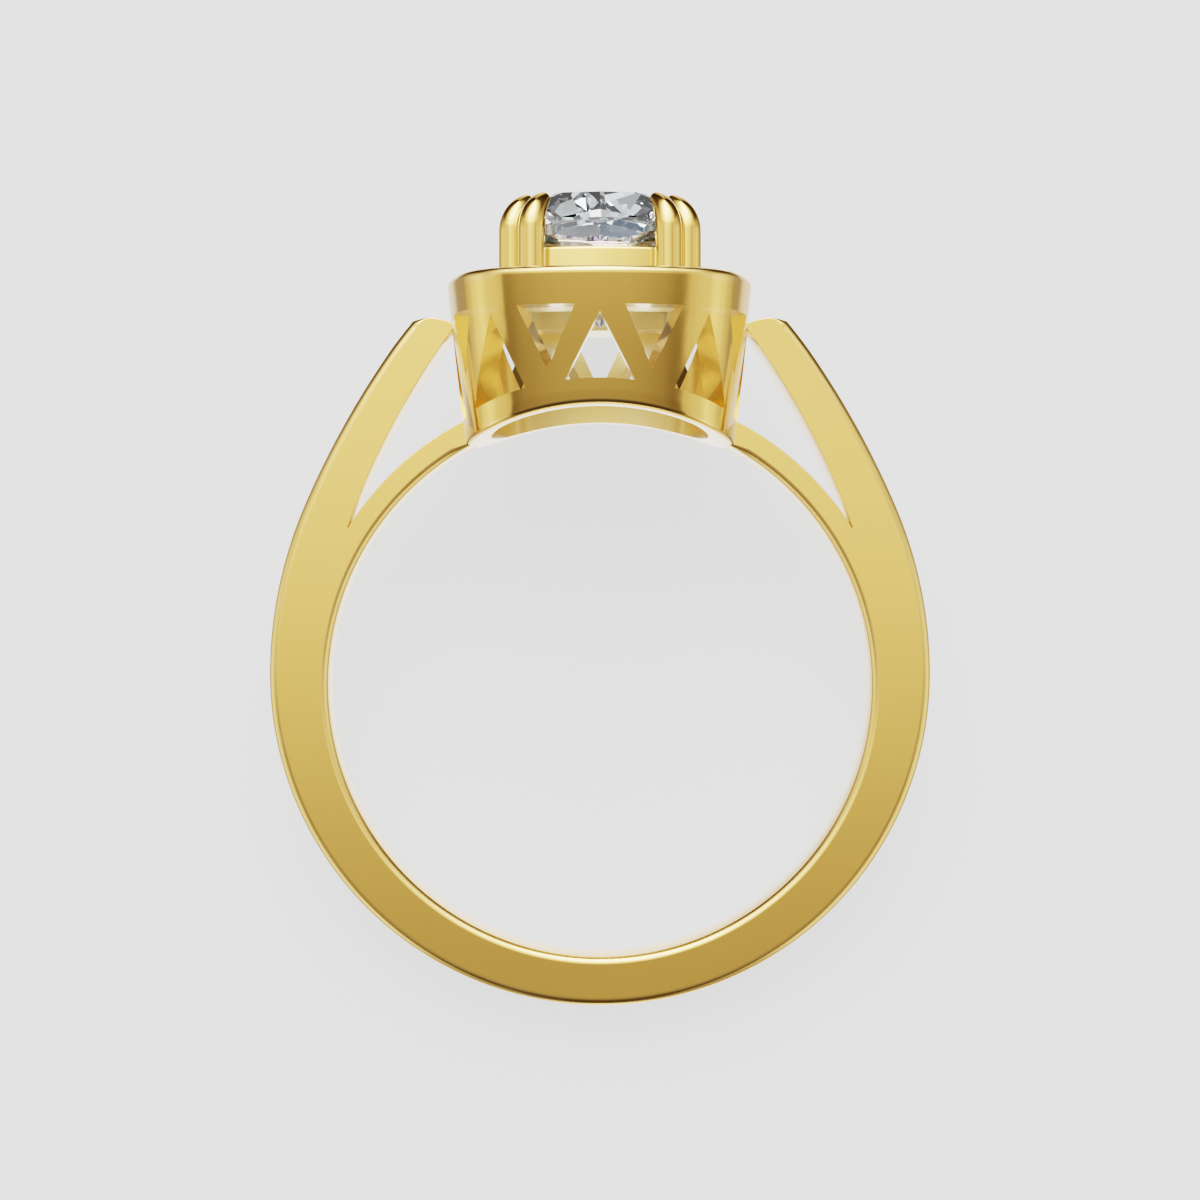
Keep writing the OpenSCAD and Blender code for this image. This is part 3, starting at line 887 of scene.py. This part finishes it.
def claw_line():
    """The middle of one claw from the deck up and over the stone, with its wire's radius."""
    rows = [(CLAW_RING_R, z, CLAW_R) for z in np.linspace(DECK_Z - CLAW_ROOT, CLAW_BEND_Z, 5)[:-1]]
    for t in np.linspace(0, 1, 16):
        b = math.radians(CLAW_BEND * t)
        rows.append((CLAW_RING_R - CLAW_BEND_R * (1 - math.cos(b)), CLAW_BEND_Z + CLAW_BEND_R * math.sin(b),
                     CLAW_R + (CLAW_TIP_R - CLAW_R) * t * t))
    r, z, _ = rows[-1]
    for t in np.radians((18, 36, 54, 70, 82, 88)):
        tip = CLAW_TIP_R * math.sin(t)
        rows.append((r - tip * math.sin(b), z + tip * math.cos(b), CLAW_TIP_R * math.cos(t)))
    mesh = bpy.data.meshes.new("claw_line")
    mesh.from_pydata([(r, 0, z) for r, z, _ in rows], [(i, i + 1) for i in range(len(rows) - 1)], [])
    add_values(mesh, "size", [width for _, _, width in rows])
    return placed("claw_line", mesh)


def claws():
    turns = [math.radians(corner + side * CLAW_PAIR / 2)
             for corner in (45, 135, 225, 315) for side in (-1, 1)]
    points = points_piece("claws_raw", [(0, 0, 0)] * len(turns), turns, [1] * len(turns))
    line = claw_line()
    values = {"Line": line, "Sides": CLAW_SIDES, "Finish": CLAW_GOLD}
    dress(grown("claws", points, claw_tree(), line, values, sharp=50), [], "gold")


def centre_stone():
    """A stone whose facets that face down towards the finger have their own finish, with painted coloured
    glints on small ones.
    """
    stone = finished("centre_stone_cut", centre_stone_mesh(), sharp=1, weighted=False)
    dress(stone, [STONE_TOP, STONE_BELOW], "stone", "centre_stone")
    stone.data.shade_flat()
    for face in stone.data.polygons:
        if face.normal.dot(HEADWARD) < FACES_DOWN:
            face.material_index = 1
    # Small facets get a random value each, which picks their painted coloured glint
    area = np.array([face.area for face in stone.data.polygons])
    value = np.where(area < SMALL_FACET * MM * MM, np.random.default_rng(7).random(len(area)), 0)
    stone.data.attributes.new("fire", "FLOAT", "FACE").data.foreach_set("value", value)


def halo_stones(at):
    """One row of small stones, clear all through."""
    shares = [i / SMALL_STONES for i in range(SMALL_STONES)]
    turns = [math.atan2(*at(share)[1::-1]) for share in shares]
    points = points_piece("halo_raw", [at(share) for share in shares], turns, [SMALL_R] * SMALL_STONES)
    one = placed("small_stone", small_stone_mesh())
    values = {"Copied": one, "Finish": STONE_TOP}
    halo = grown("halo_stones", points, copies_tree(), one, values, sharp=1)
    dress(halo, [], "stone", *[f"halo_stone_{i}" for i in range(1, SMALL_STONES + 1)])
    halo.data.shade_flat()


def halo_beads(at):
    """Two beads of metal between each pair of small stones, which hold them down."""
    spots = []
    for share in [(i + 0.5) / SMALL_STONES for i in range(SMALL_STONES)]:
        along = at(share + 0.002) - at(share - 0.002)
        across = np.array([along[1], -along[0], 0]) / np.linalg.norm(along)
        spots += [at(share) + across * BEAD_REACH * way - (0, 0, BEAD_SINK) for way in (-1, 1)]
    points = points_piece("beads_raw", spots, [0] * len(spots), [BEAD_R] * len(spots))
    ball = bmesh.new()
    bmesh.ops.create_uvsphere(ball, u_segments=14, v_segments=9, radius=1)
    bead = placed("bead", made_mesh("bead", ball))
    values = {"Copied": bead, "Finish": CLAW_GOLD}
    dress(grown("halo_beads", points, copies_tree(), bead, values, sharp=60), [], "gold")


dress(plate("band", band_loop(), HALF_BAND), [BAND_GOLD], "gold", "ring_mount")
dress(gallery("gallery"), [HEAD_GOLD, INNER_GOLD, WINDOW_GOLD], "gold")
claws()
centre_stone()
small_places = halo_path()
halo_stones(small_places)
halo_beads(small_places)


# Floor: its paper's shade and its glow
PAPER, PAPER_GLOW = (0.2, 0.2, 0.2, 1), 0.74


def floor_finish():
    """Dark paper that glows pale, a painted light that keeps shadows on it faint. Polished metal and stones
    mirror the room behind it instead, as they would standing up.
    """
    m, tree, shader = new_material("floor_paper")
    shader.inputs["Base Color"].default_value = PAPER
    shader.inputs["Roughness"].default_value = 0.9
    shader.inputs["Emission Color"].default_value = (1, 1, 1, 1)
    shader.inputs["Emission Strength"].default_value = PAPER_GLOW
    path = tree.nodes.new("ShaderNodeLightPath")
    show_mixed(tree, path.outputs["Is Glossy Ray"], shader, tree.nodes.new("ShaderNodeBsdfTransparent"))
    return m


floor_mesh = bpy.data.meshes.new("floor")
floor_mesh.from_pydata([(x, y, 0) for x, y in ((-1, -1), (1, -1), (1, 1), (-1, 1))], [], [(0, 1, 2, 3)])
floor_mesh.materials.append(floor_finish())
floor = placed("floor", floor_mesh)

# The light room: degrees that it is turned about the ring's upright axis
ROOM_TURN = math.radians(3.5)
# Brightness of the front by degrees above the level of the finger, towards the head
FRONT_LIGHT = [(-90, 0.08), (-60, 0.08), (-45, 0.15), (-30, 0.32), (-20, 0.375), (-12, 0.37), (-7, 0.415),
               (-4, 0.6), (-2, 0.78), (3, 1.1), (8, 1.3), (17, 1.4), (28, 3), (45, 4.6), (70, 5), (90, 5)]
# Share of it that is left, by degrees round to either side of the camera
FRONT_SHARE = [(0, 1), (14, 0.97), (22, 0.9), (31, 0.76), (40, 0.52), (50, 0.35), (75, 0.1), (90, 0),
               (180, 0)]
# Share that its right half lacks, and how high up
LEAN = [(-180, 0), (-6, 0), (14, 0.2), (30, 0.28), (60, 0.2), (180, 0)]
LEAN_REACH = [(-90, 0), (2, 0), (8, 1), (30, 1), (60, 0), (90, 0)]
# Brightness of the side walls, and how far up and down they reach
SIDE_LIGHT = [(0, 0), (41, 0), (46, 0.5), (55, 0.62), (65, 0.72), (86, 1.15), (98, 0.97), (112, 0.68),
              (126, 0.42), (143, 0.4), (152, 0), (180, 0)]
SIDE_REACH = [(-90, 0.25), (-62, 0.5), (-50, 1.25), (-40, 1.1), (-22, 1), (-7, 1), (8, 0.85), (22, 0.5),
              (36, 0.12), (90, 0.1)]
# The same for the wall behind
BACK_LIGHT = [(0, 0), (143, 0), (152, 0.8), (167, 0.85), (174, 1.25), (180, 1.3)]
BACK_REACH = [(-90, 1.1), (-20, 1.05), (8, 1), (30, 0.9), (60, 0.6), (90, 0.3)]


def studio():
    """A soft room round the ring: a bright box past the head, a front that fades towards the band's end, and
    walls at the sides and behind with dim gaps between them."""
    world = bpy.data.worlds.new("studio")
    bpy.context.scene.world = world
    world.use_nodes = True
    tree = world.node_tree
    link = tree.links.new
    way = tree.nodes.new("ShaderNodeTexCoord")

    def towards(direction):
        n = tree.nodes.new("ShaderNodeVectorMath")
        n.operation = "DOT_PRODUCT"
        link(way.outputs["Generated"], n.inputs[0])
        n.inputs[1].default_value = direction
        return n.outputs["Value"]

    def profile(angle, stops):
        """A smooth curve through these pairs of degrees and strength."""
        low, high = math.radians(stops[0][0]), math.radians(stops[-1][0])
        fit = tree.nodes.new("ShaderNodeMapRange")
        fit.inputs["From Min"].default_value = low
        fit.inputs["From Max"].default_value = high
        link(angle, fit.inputs["Value"])
        top = max(v for _, v in stops)
        greys = [((math.radians(at) - low) / (high - low), (v / top, v / top, v / top)) for at, v in stops]
        return maths(tree, "MULTIPLY", ramp(tree, fit.outputs["Result"], greys, "EASE"), top)

    rise = maths(tree, "ARCSINE", towards(HEADWARD))
    right = Vector((math.cos(ROOM_TURN), 0, 0)) - math.sin(ROOM_TURN) * AWAY
    straight = -math.cos(ROOM_TURN) * AWAY - Vector((math.sin(ROOM_TURN), 0, 0))
    across = maths(tree, "ARCTAN2", towards(right), towards(straight))
    side = maths(tree, "ABSOLUTE", across)
    lean = maths(tree, "MULTIPLY", profile(across, LEAN), profile(rise, LEAN_REACH))
    front = maths(tree, "MULTIPLY", profile(rise, FRONT_LIGHT), profile(side, FRONT_SHARE))
    total = maths(tree, "MULTIPLY", front, maths(tree, "SUBTRACT", 1, lean))
    for light, reach in ((SIDE_LIGHT, SIDE_REACH), (BACK_LIGHT, BACK_REACH)):
        wall = maths(tree, "MULTIPLY", profile(side, light), profile(rise, reach))
        total = maths(tree, "ADD", total, wall)
    link(total, tree.nodes["Background"].inputs["Strength"])
    tree.nodes["Background"].inputs["Color"].default_value = (1, 1, 1, 1)


# Camera: its distance from the ring and its height above the middle, mm
CENTRE = Vector((0, SHIFT, LIFT))
CAMERA_BACK, CAMERA_UP = 77, 2.653
LENS, SENSOR = 73.2, 36


def photo_camera():
    """A camera that looks along the finger, at the photo's angle and distance."""
    camera = placed("camera", bpy.data.cameras.new("camera"))
    camera.data.lens, camera.data.sensor_width = LENS, SENSOR
    camera.data.clip_start, camera.data.clip_end = 0.005, 10
    stand = MM * (CENTRE + CAMERA_UP * HEADWARD - CAMERA_BACK * AWAY)
    camera.matrix_world = Matrix.Translation(stand) @ Matrix((
        (1, HEADWARD.x, -AWAY.x), (0, HEADWARD.y, -AWAY.y), (0, HEADWARD.z, -AWAY.z))).to_4x4()
    bpy.context.scene.camera = camera


studio()
photo_camera()
light_path = bpy.context.scene.cycles
light_path.max_bounces, light_path.glossy_bounces, light_path.transmission_bounces = 20, 8, 20
view = bpy.context.scene.view_settings
view.view_transform, view.look = "Filmic", "Very High Contrast"
